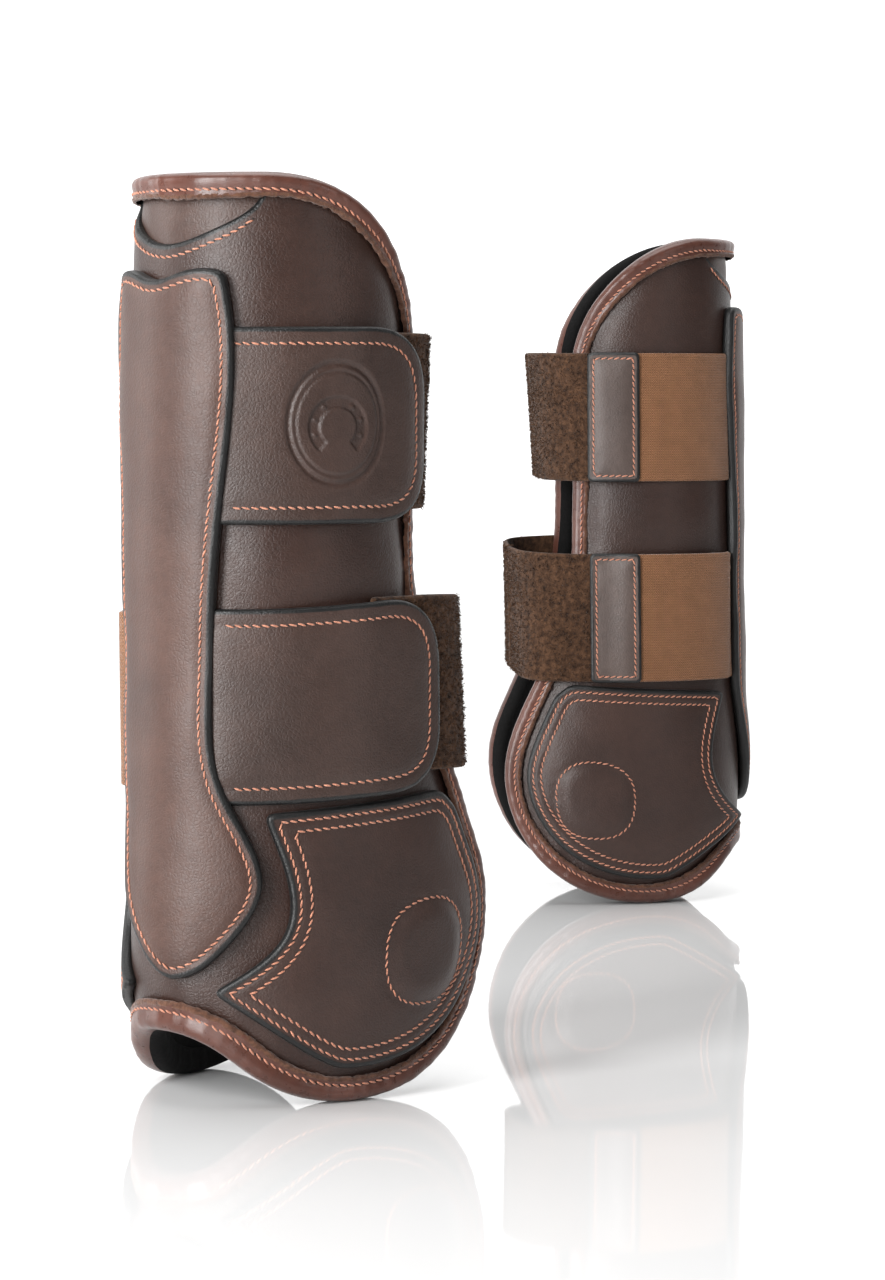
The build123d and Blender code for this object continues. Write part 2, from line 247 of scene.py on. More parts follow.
def smooth(t):
    t = np.clip(t, 0, 1)
    return t * t * (3 - 2 * t)


def ripple(a, b, scale, seed=0):
    """A soft, uneven wave over a surface, within about -1 to 1."""
    r = np.random.default_rng(seed)
    total = np.zeros(np.shape(a))
    for _ in range(7):
        angle, phase, pace = r.uniform(0, 2 * math.pi, 2).tolist() + [r.uniform(0.6, 1.7)]
        total = total + np.sin(
            (a * math.cos(angle) + b * math.sin(angle)) * pace * 2 * math.pi / scale + phase
        )
    return total / 3.2


# ------------------------------------------------------------------ meshes
class Mesh:
    """Points, faces and per-point values that several shapes can be gathered into."""

    def __init__(self):
        self.points, self.faces, self.values, self.count = [], [], {}, 0

    def add(self, points, faces, **values):
        points = np.asarray(points, float)
        self.points.append(points)
        self.faces += [tuple(i + self.count for i in face) for face in faces]
        for name, value in values.items():
            self.values.setdefault(name, []).append((self.count, np.broadcast_to(value, len(points))))
        self.count += len(points)
        return self


def grid_faces(rows, columns, flip=False):
    """Faces between rows of points, each row a closed loop."""
    faces = []
    for i in range(rows - 1):
        for j in range(columns):
            a, b = i * columns + j, i * columns + (j + 1) % columns
            c, d = b + columns, a + columns
            faces.append((a, d, c, b) if flip else (a, b, c, d))
    return faces


def fill(outline, spacing, rings, step, fine=None):
    """Triangles that fill an outline, with rings of points along its edge."""
    loops = [outline] + [inset(outline, depth, step * (1 + 0.15 * i)) for i, depth in enumerate(rings)]
    low, high = outline.min(0), outline.max(0)
    x, y = np.meshgrid(
        np.arange(low[0], high[0], spacing), np.arange(low[1], high[1], spacing * 0.87)
    )
    x = x + (np.arange(x.shape[0]) % 2)[:, None] * spacing / 2
    inner = np.stack([x.ravel(), y.ravel()], -1)
    if fine is not None:
        inner = inner[~fine[0](inner)]
        inner = np.vstack([inner, fine[1]])
    inner = inner[inside(inner, outline)]
    inner = inner[distance(inner, outline) > rings[-1] + 0.6 * min(spacing, 1.5)]
    flat = np.vstack(loops + [inner])
    count = len(outline)
    made = geometry.delaunay_2d_cdt(
        [Vector(q) for q in flat], [], [tuple(range(count))], 1, 1e-5
    )
    points = np.array([tuple(q) for q in made[0]])
    return points, [tuple(face) for face in made[2]]


UNPAINTED = 9.0  # added to the distance from the edge where a cut edge's paint never reaches


def slab(surface, outline, base, thick, relief=None, spacing=2.5, step=1.2, edge=1.0,
         rings=(0.25, 0.6, 1.1, 1.8, 2.8, 4.0, 5.4), back=False, fine=None):
    """A flat piece of leather or cloth laid on a surface: rounded edge, relief and an inside."""
    outline = resample(anticlockwise(outline), step)
    flat, faces = fill(outline, spacing, rings, step, fine)
    depth = distance(flat, outline)
    t = np.clip(depth / edge, 0, 1)
    height = thick - edge * (1 - np.sqrt(1 - (1 - t) ** 2))
    if relief is not None:
        height = height + relief(flat[:, 0], flat[:, 1], depth)
    base_at = base if callable(base) else (lambda s, z: base)
    mesh = Mesh()
    s, z = flat.T
    mesh.add(surface(s, z, base_at(s, z) + height), faces, edge=depth, along=s, up=z)
    # the edge, from the rounded shoulder down and a little under
    rows = []
    side = [(0.0, thick - edge), (-0.12, 0.55 * (thick - edge)), (0.0, 0.12 * thick), (0.45, 0.0)]
    out_way = inward(outline)
    s, z = outline.T
    extra = relief(s, z, np.zeros(len(s))) if relief is not None else 0.0
    for move, level in side:
        q = outline + out_way * move
        raised = extra if move == 0 and level > 0 else 0
        rows.append(surface(q[:, 0], q[:, 1], base_at(*q.T) + level + raised))
    columns = len(outline)
    mesh.add(
        np.vstack(rows), grid_faces(len(rows), columns, flip=True),
        edge=np.zeros(len(rows) * columns), along=np.tile(s, len(rows)), up=np.tile(z, len(rows)),
    )
    if back:
        s, z = flat.T
        under = surface(s, z, base_at(s, z))
        mesh.add(under, [face[::-1] for face in faces], edge=depth + UNPAINTED, along=s, up=z)
    return mesh


def stitch_row(path, surface, out, pitch, closed, slant, thread, holes):
    """Saddle stitches along a line on a surface, each a slanted capsule, with a small dark disc at each needle
    hole as painted shade.
    """
    points = resample(path, pitch, closed)
    nxt = np.roll(points, -1, 0) if closed else np.vstack([points[1:], points[-1:] * 2 - points[-2:-1]])
    way = nxt - points
    way /= np.linalg.norm(way, axis=1, keepdims=True)
    middle = points + way * pitch / 2
    out_at = out if callable(out) else (lambda s, z: np.full(np.shape(s), out))
    centre = surface(middle[:, 0], middle[:, 1], out_at(*middle.T))
    ahead = surface(*(middle + way * 0.3).T, out_at(*(middle + way * 0.3).T)) - centre
    ahead /= np.linalg.norm(ahead, axis=1, keepdims=True)
    up = surface(middle[:, 0], middle[:, 1], out_at(*middle.T) + 0.5) - centre
    up /= np.linalg.norm(up, axis=1, keepdims=True)
    across = np.cross(up, ahead)
    turns = np.radians(slant + rng.normal(0, 3, len(points)))
    along = ahead * np.cos(turns)[:, None] + across * np.sin(turns)[:, None]
    sideways = np.cross(up, along)
    stations = [(-1.0, 0.0), (-0.82, 0.62), (-0.35, 1.0), (0.35, 1.0), (0.82, 0.62), (1.0, 0.0)]
    ring = np.linspace(0, 2 * math.pi, 7)[:-1]
    faces = grid_faces(len(stations), len(ring))
    for i in range(len(points)):
        size = STITCH_LENGTH * (1 + rng.normal(0, 0.03)) / 2
        shape = []
        for place, width in stations:
            rise = THREAD_RADIUS * (0.55 - 0.75 * place**2)
            for angle in ring:
                lift = rise + THREAD_RADIUS * 0.9 * width * math.sin(angle)
                shape.append(
                    centre[i] + along[i] * place * size + up[i] * lift
                    + sideways[i] * THREAD_RADIUS * width * math.cos(angle)
                )
        thread.add(shape, faces)
    # a small dark disc at each needle hole, painted shade for the depth of the hole
    spot = surface(points[:, 0], points[:, 1], out_at(*points.T))
    for i in range(len(points)):
        shape = [spot[i] + up[i] * 0.12]
        for angle in ring:
            shape.append(
                spot[i] + ahead[i] * 0.42 * math.cos(angle) + across[i] * 0.36 * math.sin(angle)
                - up[i] * 0.05
            )
        holes.add(shape, [(0, k + 1, (k + 1) % 6 + 1) for k in range(6)])


# ------------------------------------------------------------------ materials
def node(tree, kind, **inputs):
    made = tree.nodes.new(kind)
    for name, value in inputs.items():
        made.inputs[name.replace("_", " ")].default_value = value
    return made


def ramp(tree, source, stops):
    made = tree.nodes.new("ShaderNodeValToRGB")
    elements = made.color_ramp.elements
    while len(elements) < len(stops):
        elements.new(0.5)
    for element, (place, colour) in zip(elements, stops):
        element.position = place
        element.color = (*colour, 1) if len(colour) == 3 else colour
    tree.links.new(source, made.inputs[0])
    return made.outputs[0]


def mix(tree, factor, a, b, kind="MIX"):
    made = tree.nodes.new("ShaderNodeMix")
    made.data_type = "RGBA"
    made.blend_type = kind
    for socket, value in ((made.inputs[0], factor), (made.inputs[6], a), (made.inputs[7], b)):
        if isinstance(value, (int, float)):
            socket.default_value = value
        elif isinstance(value, tuple):
            socket.default_value = (*value, 1)
        else:
            tree.links.new(value, socket)
    return made.outputs[2]


def maths(tree, kind, a, b=None, clamp=False):
    made = tree.nodes.new("ShaderNodeMath")
    made.operation = kind
    made.use_clamp = clamp
    for socket, value in zip(made.inputs, (a, b)):
        if value is None:
            continue
        if isinstance(value, (int, float)):
            socket.default_value = value
        else:
            tree.links.new(value, socket)
    return made.outputs[0]


def attribute(tree, name):
    made = tree.nodes.new("ShaderNodeAttribute")
    made.attribute_name = name
    return made.outputs["Fac"]


def object_noise(tree, scale, detail=3.0, rough=0.5, kind="noise"):
    coordinates = tree.nodes.new("ShaderNodeTexCoord").outputs["Object"]
    if kind == "cells":
        made = node(tree, "ShaderNodeTexVoronoi", Scale=scale)
        made.feature = "DISTANCE_TO_EDGE"
        tree.links.new(coordinates, made.inputs["Vector"])
        return made.outputs["Distance"]
    made = node(tree, "ShaderNodeTexNoise", Scale=scale, Detail=detail, Roughness=rough)
    tree.links.new(coordinates, made.inputs["Vector"])
    return made.outputs["Fac"]


def new_material(name, **sockets):
    material = bpy.data.materials.new(name)
    material.use_nodes = True
    shader = material.node_tree.nodes["Principled BSDF"]
    for key, value in sockets.items():
        shader.inputs[key.replace("_", " ")].default_value = value
    return material, material.node_tree, shader


def bump(tree, shader, *layers):
    """Bumps of (height, distance in mm, strength), one on another."""
    before = None
    for height, deep, strength in layers:
        made = node(tree, "ShaderNodeBump", Strength=strength, Distance=deep * MM)
        tree.links.new(height, made.inputs["Height"])
        if before is not None:
            tree.links.new(before, made.inputs["Normal"])
        before = made.outputs["Normal"]
    tree.links.new(before, shader.inputs["Normal"])


def leather(name, dark, light, rough, grain, painted, cell=900.0):
    """Dyed leather. painted is how far in from a cut edge its dark paint reaches, in mm."""
    material, tree, shader = new_material(
        name, Specular_IOR_Level=0.40, Coat_Weight=0.05, Coat_Roughness=0.3, Sheen_Weight=0.03,
        Sheen_Roughness=0.4,
    )
    broad = object_noise(tree, 26, 4, 0.55)
    fine = object_noise(tree, 420, 4, 0.65)
    cells = object_noise(tree, cell, kind="cells")
    colour = ramp(tree, broad, [(0.32, dark), (0.7, light)])
    speck = ramp(tree, fine, [(0.3, (0.72, 0.72, 0.72)), (0.62, (1.0, 1.0, 1.0)), (0.8, (1.16, 1.13, 1.1))])
    colour = mix(tree, 0.65, colour, speck, "MULTIPLY")
    roughness = maths(tree, "MULTIPLY_ADD", fine, rough[1] - rough[0])
    roughness.node.inputs[2].default_value = rough[0]
    if painted:
        wave = maths(tree, "MULTIPLY", object_noise(tree, 190, 2), 0.7)
        depth = maths(tree, "ADD", attribute(tree, "edge"), wave)
        edge = ramp(tree, maths(tree, "DIVIDE", depth, painted + 1.0, True),
                    [(0.0, (1, 1, 1)), (0.62, (1, 1, 1)), (0.8, (0, 0, 0))])
        colour = mix(tree, edge, colour, (0.0045, 0.0045, 0.0045))
    tree.links.new(colour, shader.inputs["Base Color"])
    tree.links.new(roughness, shader.inputs["Roughness"])
    pores = ramp(tree, cells, [(0.0, (0, 0, 0)), (0.25, (1, 1, 1))])
    bump(tree, shader, (pores, 0.12, 0.5 * grain), (fine, 0.2, 0.6 * grain), (broad, 0.8, 0.25))
    return material


def cloth(name, dark, light, rough, sheen, scale, deep=0.35):
    material, tree, shader = new_material(
        name, Roughness=rough, Sheen_Weight=sheen, Sheen_Roughness=0.5, Specular_IOR_Level=0.2
    )
    fine = object_noise(tree, scale, 5, 0.7)
    broad = object_noise(tree, 60, 3, 0.6)
    colour = ramp(tree, fine, [(0.3, dark), (0.7, light)])
    shade = ramp(tree, broad, [(0.3, (0.7, 0.7, 0.7)), (0.7, (1.1, 1.1, 1.1))])
    colour = mix(tree, 0.5, colour, shade, "MULTIPLY")
    tree.links.new(colour, shader.inputs["Base Color"])
    bump(tree, shader, (fine, deep, 0.8))
    return material


def webbing_material():
    material, tree, shader = new_material(
        "elastic_webbing", Roughness=0.82, Sheen_Weight=0.25, Sheen_Roughness=0.4, Specular_IOR_Level=0.25
    )
    along, up = attribute(tree, "along"), attribute(tree, "up")
    ribs = maths(tree, "SINE", maths(tree, "MULTIPLY", up, 2 * math.pi / 1.0))
    picks = maths(tree, "SINE", maths(tree, "MULTIPLY", along, 2 * math.pi / 0.85))
    weave = maths(tree, "MULTIPLY", ribs, picks)
    height = maths(tree, "ADD", maths(tree, "MULTIPLY", ribs, 0.5), weave)
    level = maths(tree, "MULTIPLY_ADD", height, 0.33)
    level.node.inputs[2].default_value = 0.5
    # the colour follows the weave's height: darker in the hollows between ribs and picks as painted shade, lighter
    # on the raised yarns as painted light
    colour = ramp(tree, level, [(0.05, (0.13, 0.056, 0.024)), (0.95, (0.27, 0.125, 0.058))])
    streaks = object_noise(tree, 160, 3, 0.7)
    shade = ramp(tree, streaks, [(0.3, (0.7, 0.7, 0.7)), (0.7, (1.15, 1.15, 1.15))])
    colour = mix(tree, 0.4, colour, shade, "MULTIPLY")
    tree.links.new(colour, shader.inputs["Base Color"])
    bump(tree, shader, (height, 0.22, 0.7), (streaks, 0.3, 0.3))
    return material


def thread_material():
    material, tree, shader = new_material(
        "stitching_thread", Roughness=0.55, Sheen_Weight=0.3, Sheen_Roughness=0.4
    )
    fine = object_noise(tree, 1800, 2, 0.6)
    colour = ramp(tree, fine, [(0.3, (0.24, 0.085, 0.048)), (0.7, (0.60, 0.255, 0.155))])
    tree.links.new(colour, shader.inputs["Base Color"])
    bump(tree, shader, (fine, 0.12, 0.6))
    return material


MATERIALS = {
    "shell": leather("shell_leather", (0.022, 0.0085, 0.0055), (0.040, 0.018, 0.0125), (0.33, 0.48), 0.9, 1.6),
    "guard": leather("guard_leather", (0.044, 0.019, 0.013), (0.080, 0.039, 0.028), (0.37, 0.52), 0.75, 1.7),
    "pad": leather("pad_leather", (0.027, 0.012, 0.0085), (0.046, 0.022, 0.016), (0.38, 0.54), 0.7, 1.7),
    "strap": leather("strap_leather", (0.028, 0.0135, 0.0095), (0.050, 0.0265, 0.020), (0.34, 0.50), 0.85, 1.3),
    "tab": leather("tab_leather", (0.056, 0.038, 0.032), (0.090, 0.064, 0.055), (0.36, 0.50), 0.6, 1.0),
    "binding": leather(
        "binding_leather", (0.058, 0.020, 0.013), (0.120, 0.045, 0.031), (0.22, 0.36), 0.3, 0.0, 1500),
    "collar": leather("collar_leather", (0.034, 0.015, 0.010), (0.062, 0.030, 0.021), (0.36, 0.50), 0.8, 0.0),
    # almost pure black lining cloth with no sheen: painted shade for the dark inside of the boot
    "lining": cloth("lining_cloth", (0.0015, 0.0015, 0.0015), (0.005, 0.0045, 0.0045), 0.95, 0.0, 700),
    "pile": cloth("pile_tape", (0.014, 0.006, 0.003), (0.110, 0.054, 0.028), 0.95, 0.08, 480, 0.9),
    "suede": cloth("binding_suede", (0.040, 0.016, 0.009), (0.150, 0.068, 0.040), 0.95, 0.25, 650, 0.7),
    "hook": cloth("hook_tape", (0.012, 0.008, 0.006), (0.035, 0.022, 0.016), 0.7, 0.1, 900, 0.5),
    "webbing": webbing_material(),
    "thread": thread_material(),
    # near-black discs at the needle holes, painted shade for the depth of each hole
    "hole_shade": leather("needle_hole_shade", (0.006, 0.003, 0.002), (0.012, 0.006, 0.004), (0.7, 0.9), 0.2, 0.0),
}


def place(name, mesh, material, body, replaces=(), slot=None, blend=None, fill=None):
    """Puts a copy of a shape on each boot, and ties it to the CAD."""
    points = np.vstack(mesh.points)
    for boot, ((x, y), yaw) in PLACES.items():
        turn = math.radians(yaw)
        matrix = Matrix.Translation((x * MM, y * MM, 0)) @ Matrix.Rotation(turn, 4, "Z") @ Matrix.Scale(MM, 4)
        data = bpy.data.meshes.new(f"{boot}_{name}")
        data.from_pydata([tuple(q) for q in points], [], mesh.faces)
        for key, chunks in mesh.values.items():
            layer = data.attributes.new(key, "FLOAT", "POINT")
            values = np.zeros(len(points), np.float32)
            for start, chunk in chunks:
                values[start : start + len(chunk)] = chunk
            layer.data.foreach_set("value", values)
        data.transform(matrix)
        data.validate()
        data.materials.append(MATERIALS[material])
        data.polygons.foreach_set("use_smooth", [True] * len(data.polygons))
        data.update()
        made = bpy.data.objects.new(f"{boot}_{name}", data)
        bpy.context.scene.collection.objects.link(made)
        if blend:
            first, second, start, end = blend
            ends = [matrix @ Vector(q) for q in (start, end)]
            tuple(ends[0])
            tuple(ends[1])
            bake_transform(made)
        else:
            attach(made, boot + body)
        if replaces:
            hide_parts(*[f"{boot}_{r}" for r in replaces])


# ------------------------------------------------------------------ the boot's outlines
def boot_outline():
    """The rolled edge, seen from the side: from the top of the back to the bottom of the back."""
    edge = 0.8 * CANNON
    top = curve([(-24, HEIGHT), (0.4 * CANNON, HEIGHT - 17), (edge, HEIGHT - 50)], (1, 0), (0, -1), 60)
    cup_front = FETLOCK + 16
    cup = curve(
        [(edge, PAD_TOP + 65), (edge + 11, PAD_TOP + 12), (cup_front, FETLOCK_Z - 2), (cup_front - 14, 17),
         (2, 0), (-28, 9.0), (-CANNON - 8, 22.0)], (0, -1), (-1, 0), 60)
    back = np.stack([np.linspace(-CANNON, -24, 120, endpoint=False), np.full(120, HEIGHT)], -1)
    side = np.vstack([back, top, cup])
    s = from_side(side[:, 0], side[:, 1])
    keep = s > 0.4
    half = np.stack([s[keep], side[keep, 1]], -1)
    whole = np.vstack([[(0, HEIGHT)], half, [(0, half[-1, 1])], half[::-1] * (-1, 1)])
    return anticlockwise(resample(whole, 1.0))


EDGE = boot_outline()


def guard_outline():
    """A long tongue down the back whose lobe swells towards the leather straps."""
    top = HEIGHT - 26
    upper = curve([(0, top - 4), (13.7, top - 1), (19.6, top - 3.5)], (1, 0), (0.2, -1), 40)
    right = curve([(19.6, top - 3.5), (18.5, 0.62 * HEIGHT), (16.6, PAD_TOP + 28), (18.4, PAD_TOP + 7),
                   (25.0, 74), (27.0, 64), (20.6, 45.75), (8.5, 36.8)], (0.2, -1), (-1, 0), 60)
    left = curve([(-19.6, top - 3.5), (-18.5, 0.62 * HEIGHT), (-16.6, PAD_TOP + 28), (-15.4, PAD_TOP + 6),
                  (-11.6, 67), (-7.6, 53), (-1.5, 43.25), (8.5, 36.5)], (-0.2, -1), (1, 0), 60)
    shape = np.vstack([upper, right[1:], left[-2::-1], upper[-2:0:-1] * (-1, 1)])
    return np.stack([from_rear(shape[:, 0], shape[:, 1]), shape[:, 1]], -1)


def pad_outline(side):
    shift = 0.0 if side > 0 else 5.0
    corner, tip = (-24.8 - shift, PAD_TOP - 1.8), (-35.4 - 0.6 * shift, 33)
    rim = inset(EDGE, 10.2, 1.0)
    rim = rim[rim[:, 0] * side > 0]
    rim = rim * (side, 1)
    front = rim[(rim[:, 1] < PAD_TOP - 2)]
    top = curve([corner, (10, PAD_TOP + 0.8), (44, PAD_TOP + 2.5)], (1, 0.1), (1, 0), 30)
    rear = curve([tip, (-21.2 - shift, 49), corner], (0.75, 0.8), (-0.25, 1), 30)
    low = np.array([tip, (-14, 14.5)])
    top = np.stack([from_side(*top.T), top[:, 1]], -1)
    rear = np.stack([from_side(*rear.T), rear[:, 1]], -1)
    low = np.stack([from_side(*low.T), low[:, 1]], -1)
    front = front[np.argsort(-np.arctan2(front[:, 1] - 45, front[:, 0] - 60))]
    front = front[(front[:, 0] > low[1, 0] + 7)]
    shape = np.vstack([rear[:-1], top[top[:, 0] < front[0, 0] - 6], front, low[1:]])
    shape = resample(shape, 1.0)
    # soften its corners
    for _ in range(6):
        shape = (np.roll(shape, 1, 0) + 2 * shape + np.roll(shape, -1, 0)) / 4
    return shape * (side, 1)


# ------------------------------------------------------------------ the strap loops
LOOP_FRONT = {"upper": (CANNON, CANNON + 4.0), "lower": (CANNON + 10.3, CANNON + 12.0)}
STRAP_SQUARE = {"upper": (3.0, 3.0), "lower": (5.2, 4.2)}
WEB_SQUARE = {"upper": (2.8, 2.7), "lower": (5.4, 2.8)}
LOOP_TURNS = np.linspace(-math.pi, math.pi, 1441)


def loop_line(name, share):
    half, stretch = section_at(STRAP_Z[name] + share * STRAP_W)
    front = LOOP_FRONT[name][0] + share * (LOOP_FRONT[name][1] - LOOP_FRONT[name][0])
    across, along = np.sin(LOOP_TURNS), -np.cos(LOOP_TURNS)
    depth = np.where(along < 0, half + stretch, front - stretch)
    square = np.full(len(LOOP_TURNS), 2.0)
    for sign, ends in ((1, STRAP_SQUARE[name]), (-1, WEB_SQUARE[name])):
        square[(along > 0) & (across * sign > 0)] = ends[0] + share * (ends[1] - ends[0])
    x = np.sign(across) * half * np.abs(across) ** (2 / square)
    y = stretch + np.sign(along) * depth * np.abs(along) ** (2 / square)
    points = np.stack([x, y], -1)
    length = np.concatenate([[0], np.cumsum(np.linalg.norm(np.diff(points, axis=0), axis=1))])
    return points, length - length[len(length) // 2]


LOOPS = {name: [loop_line(name, share) for share in (0, 1)] for name in STRAP_Z}


def loop_surface(name, tilt=lambda s: 0.0):
    """The surface that a strap follows round the leg and across the open front."""
    def at(s, z, out):
        s, z, out = np.broadcast_arrays(np.asarray(s, float), np.asarray(z, float), np.asarray(out, float))
        share = (z - STRAP_Z[name]) / STRAP_W
        ends = []
        for points, length in LOOPS[name]:
            here = np.stack([np.interp(s, length, points[:, i]) for i in (0, 1)], -1)
            ahead = np.stack([np.interp(s + 0.8, length, points[:, i]) for i in (0, 1)], -1)
            behind = np.stack([np.interp(s - 0.8, length, points[:, i]) for i in (0, 1)], -1)
            way = ahead - behind
            way /= np.maximum(np.linalg.norm(way, axis=-1, keepdims=True), 1e-9)
            ends.append(here + np.stack([way[..., 1], -way[..., 0]], -1) * out[..., None])
        flat = ends[0] * (1 - share[..., None]) + ends[1] * share[..., None]
        return np.concatenate([flat, (z + tilt(s))[..., None]], -1)
    return at


def loop_s(name, x=None, y=None, side=1):
    """Distance round a loop, halfway up, to a sideways or a forward place."""
    points = (LOOPS[name][0][0] + LOOPS[name][1][0]) / 2
    length = (LOOPS[name][0][1] + LOOPS[name][1][1]) / 2
    half = length * side > 0
    if y is None:
        half &= points[:, 1] < 4
        return length[half][np.argmin(np.abs(points[half, 0] - x * side))]
    return length[half][np.argmin(np.abs(points[half, 1] - y) + 1e-6 * np.abs(points[half, 0]))]


# ------------------------------------------------------------------ the body of the boot
def make_shell():
    body = inset(EDGE, 3.0, 1.2)
    scoop_half, low, high = 26.0, HEIGHT - 20, HEIGHT - 8
    dip = curve([(0, low), (0.6 * scoop_half, low + 4), (scoop_half, high)], (1, 0), (0.5, 1), 30)
    dip = np.stack([from_rear(*dip.T), dip[:, 1]], -1)
    limit = dip[-1, 0]
    body = body[~((np.abs(body[:, 0]) < limit + 1) & (body[:, 1] > 200))]
    order = np.argmax(np.linalg.norm(np.diff(np.vstack([body, body[:1]]), axis=0), axis=1))
    body = np.roll(body, -order - 1, 0)
    line = np.vstack([dip[::-1] * (-1, 1), dip[1:]])
    if body[-1, 0] > 0:
        line = line[::-1]
    outline = np.vstack([body, line])

    def relief(s, z, depth):
        puff = 0.9 * np.exp(-(((z - 153) / 10) ** 2)) + 0.5 * np.exp(-(((z - 232) / 9) ** 2))
        puff = puff * smooth((np.abs(s) - 18) / 14)
        pinch = -0.9 * np.exp(-((distance(np.stack([s, z], -1), EDGE) - 8.0).clip(0) / 3.5) ** 2)
        crease = 0.35 * ripple(s, z * 0.35, 17, 3) * smooth((45 - z) / 18)
        return puff + pinch + crease + 0.28 * ripple(s, z, 46, 1)

    shell = slab(wall, outline, -2.2, 2.2, relief, 2.6, 1.3, 0.9)
    place("outer_shell", shell, "shell", "", ("outer_shell",), "shell_leather")
    thread, holes = Mesh(), Mesh()
    row = line[(np.abs(line[:, 0]) < limit - 1.5)]
    row = row + (0, -3.6)
    stitch_row(row, wall, lambda s, z: 0.02 + 0.28 * ripple(s, z, 46, 1), 2.4, False, -SLANT, thread, holes)
    # the softer panel that shows in the scoop
    collar = np.array([(-46, 228), (46, 228), (46, 259), (-46, 259)])
    roll = lambda s, z, d: 0.7 * np.exp(-(((z - 249) / 6) ** 2)) + 0.3 * ripple(s, z, 21, 5)
    place("collar_panel", slab(wall, round_corners(collar, 2), -3.6, 1.2, roll, 2.5, 1.5, 0.5),
          "collar", "", ("collar_panel",), "collar_leather")
    # the lining inside the shell, in the near-black lining cloth that paints the shade inside the boot
    lining = slab(lambda s, z, out: wall(s, z, -out), inset(EDGE, 2.5, 1.5), 6.6, 0.9,
                  lambda s, z, d: 0.3 * ripple(s, z, 30, 9), 3.6, 1.6, 0.4)
    lining.faces = [face[::-1] for face in lining.faces]
    place("lining", lining, "lining", "", ("lining", "padding"), "lining_cloth", fill=0.9)
    return thread, holes


def make_binding(thread, holes):
    """Soft leather rolled over the whole edge, with a raw suede margin beyond its stitching."""
    way = inward(EDGE)
    for _ in range(12):
        way = (np.roll(way, 1, 0) + 2 * way + np.roll(way, -1, 0)) / 4
    way /= np.linalg.norm(way, axis=1, keepdims=True)
    s, z = EDGE.T
    length = np.arange(len(EDGE)) * 1.0
    wide = 1 + 0.3 * smooth((60 - z) / 20) * smooth((58 - np.abs(s)) / 40)
    pucker = 0.16 * ripple(length, length * 0, 7, 11) + 0.25 * ripple(length, length * 0, 33, 12)
    # (distance in from the edge, distance out), from the stitched side over the roll to the inside
    rolled = [(7.2, 0.35), (7.0, 0.95), (6.3, 1.2), (5.2, 1.05), (4.2, 1.25), (3.0, 1.5), (2.0, 1.45),
              (1.1, 0.9), (0.45, -0.2), (0.1, -1.6), (0.0, -3.7), (0.15, -5.6), (0.7, -7.2),
              (1.6, -8.2), (3.0, -8.6), (5.0, -8.5), (7.0, -8.4), (7.3, -7.6)]
    profile = curve(rolled, None, None, 3)
    rows = []
    for w, out in profile:
        waver = pucker * (0.9 if out > -1 else 0.6)
        narrow = 0.35 * ripple(length, length * 0, 90, 4) * (w / 7)
        q = EDGE + way * (wide * (w + narrow))[:, None]
        rows.append(wall(q[:, 0], q[:, 1], out + waver))
    columns = len(EDGE)
    turn = int(np.argmax(profile[:, 1] < -3.4))
    roll = Mesh().add(np.vstack(rows[: turn + 1]), grid_faces(turn + 1, columns))
    place("edge_binding", roll, "binding", "", ("edge_binding",), "binding_leather")
    # the inner leaf of the roll takes the near-black lining cloth, painted shade where the roll turns into the
    # dark inside of the boot
    rest = rows[turn:]
    roll = Mesh().add(np.vstack(rest), grid_faces(len(rest), columns))
    place("inner_binding", roll, "lining", "", (), "binding_leather")
    # raw margin
    rows = []
    for w, out in ((5.9, 0.9), (6.2, 1.25), (6.8, 1.3), (7.3, 1.0), (7.5, 0.2)):
        ragged = 0.16 * rng.normal(0, 1, columns) * (w > 7.0)
        narrow = 0.35 * ripple(length, length * 0, 90, 4) * (w / 7)
        q = EDGE + way * (wide * (w + narrow) + ragged)[:, None]
        rows.append(wall(q[:, 0], q[:, 1], out + 0.12 * rng.normal(0, 1, columns) + pucker * 0.9))
    suede = Mesh().add(np.vstack(rows), grid_faces(len(rows), columns, flip=True))
    place("binding_margin", suede, "suede", "", (), "binding_leather")
    middle = EDGE + way * (5.0 * wide)[:, None]
    stitch_row(middle, wall, 1.1, 2.4, True, -SLANT, thread, holes)


def make_guard(thread, holes):
    outline = anticlockwise(resample(guard_outline(), 0.8))

    def relief(s, z, depth):
        groove = -0.4 * np.exp(-(((depth - 3.1) / 1.0) ** 2)) - 0.12 * smooth((3.4 - depth) / 1.0)
        crown = 0.5 * smooth(depth / 14)
        waves = 0.3 * ripple(s * 0.6, z, 60, 21) + 0.12 * ripple(s, z, 22, 22)
        side_waves = 0.55 * ripple(z * 0, z, 48, 23) * smooth((5 - depth) / 5) * smooth((z - 95) / 20)
        return groove + crown + (waves + side_waves) * smooth(depth / 1.5 + 0.4)

    guard = slab(wall, outline, 0.6, 3.9, relief, 1.9, 1.0, 1.2, (0.25, 0.6, 1.1, 1.8, 2.4, 3.1, 3.8, 4.6, 6.0))
    place("strike_guard", guard, "guard", "", ("strike_guard", "guard_core"), "guard_leather")

    def out(s, z):
        q = np.stack([s, z], -1)
        depth = distance(q, resample(outline, 0.7))
        return 4.5 + relief(s, z, depth) + 0.05
    stitch_row(inset(resample(anticlockwise(outline), 0.7), 3.1, 1.0), wall, out, 2.3, True, -SLANT, thread, holes)


